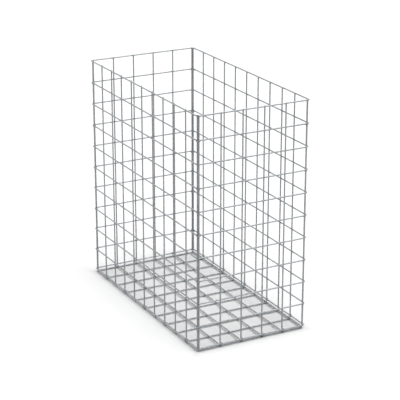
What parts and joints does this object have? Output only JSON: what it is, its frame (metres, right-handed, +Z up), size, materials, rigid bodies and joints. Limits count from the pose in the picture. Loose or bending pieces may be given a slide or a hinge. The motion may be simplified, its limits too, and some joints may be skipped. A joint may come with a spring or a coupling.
{
  "type": "gabion basket",
  "caption": "Open-topped rectangular stone basket of flat welded wire mesh panels, joined along the corners and the bottom edges by closed wire rings.",
  "frame": {"origin": "centre of the footprint, on the ground that the lowest rings stand on", "axes": "+X along the length, +Y across the width, +Z up through the open top"},
  "size_m": [1.0306, 0.5306, 1.0205],
  "materials": {
    "mesh_zinc": "hot-dip galvanised, dull",
    "ring_zinc": "galvanised, satin"
  },
  "bodies": {
    "root": {"base_panel": "mesh_zinc", "front_panel": "mesh_zinc", "back_panel": "mesh_zinc", "left_end_panel": "mesh_zinc", "right_end_panel": "mesh_zinc", "corner_ring_front_right_1": "ring_zinc", "corner_ring_front_right_3": "ring_zinc", "corner_ring_front_right_5": "ring_zinc", "corner_ring_front_right_7": "ring_zinc", "corner_ring_front_right_9": "ring_zinc", "corner_ring_front_left_1": "ring_zinc", "corner_ring_front_left_3": "ring_zinc", "corner_ring_front_left_5": "ring_zinc", "corner_ring_front_left_7": "ring_zinc", "corner_ring_front_left_9": "ring_zinc", "corner_ring_back_right_1": "ring_zinc", "corner_ring_back_right_3": "ring_zinc", "corner_ring_back_right_5": "ring_zinc", "corner_ring_back_right_7": "ring_zinc", "corner_ring_back_right_9": "ring_zinc", "corner_ring_back_left_1": "ring_zinc", "corner_ring_back_left_3": "ring_zinc", "corner_ring_back_left_5": "ring_zinc", "corner_ring_back_left_7": "ring_zinc", "corner_ring_back_left_9": "ring_zinc", "base_ring_front_1": "ring_zinc", "base_ring_front_3": "ring_zinc", "base_ring_front_5": "ring_zinc", "base_ring_front_7": "ring_zinc", "base_ring_front_9": "ring_zinc", "base_ring_right_1": "ring_zinc", "base_ring_right_2": "ring_zinc", "base_ring_right_3": "ring_zinc", "base_ring_right_4": "ring_zinc", "base_ring_back_1": "ring_zinc", "base_ring_back_3": "ring_zinc", "base_ring_back_5": "ring_zinc", "base_ring_back_7": "ring_zinc", "base_ring_back_9": "ring_zinc", "base_ring_left_1": "ring_zinc", "base_ring_left_2": "ring_zinc", "base_ring_left_3": "ring_zinc", "base_ring_left_4": "ring_zinc"}
  },
  "joints": []
}
